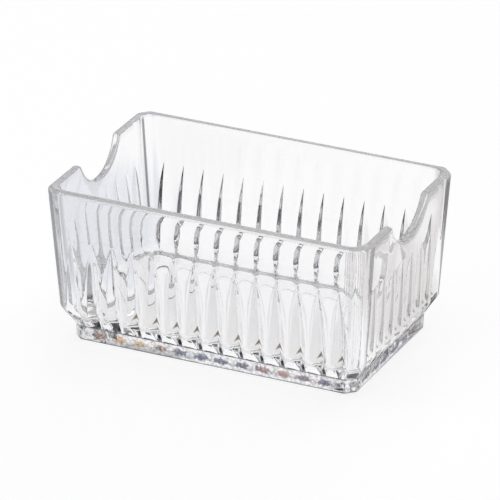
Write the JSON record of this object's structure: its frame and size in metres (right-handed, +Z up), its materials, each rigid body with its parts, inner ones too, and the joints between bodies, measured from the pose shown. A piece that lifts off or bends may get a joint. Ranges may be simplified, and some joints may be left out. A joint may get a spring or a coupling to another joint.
{
  "type": "tea bag organizer",
  "caption": "Clear oblong open-topped caddy with flared walls, tapering mitre grooves, cut corners, a stepped foot and a round finger notch in each end, for standing tea bags in a row.",
  "frame": {"origin": "centre of the bounding box's underside, on the ground under the foot", "axes": "+X along the length, towards the right end; +Y from the front to the back; +Z up"},
  "size_m": [0.12, 0.076, 0.0575],
  "materials": {
    "clear_moulding": "clear, polished, colourless"
  },
  "bodies": {
    "root": {"foot_plinth": "clear_moulding", "floor_slab": "clear_moulding", "front_wall": "clear_moulding", "back_wall": "clear_moulding", "left_end_wall": "clear_moulding", "right_end_wall": "clear_moulding", "front_left_corner": "clear_moulding", "front_right_corner": "clear_moulding", "back_left_corner": "clear_moulding", "back_right_corner": "clear_moulding"}
  },
  "joints": []
}
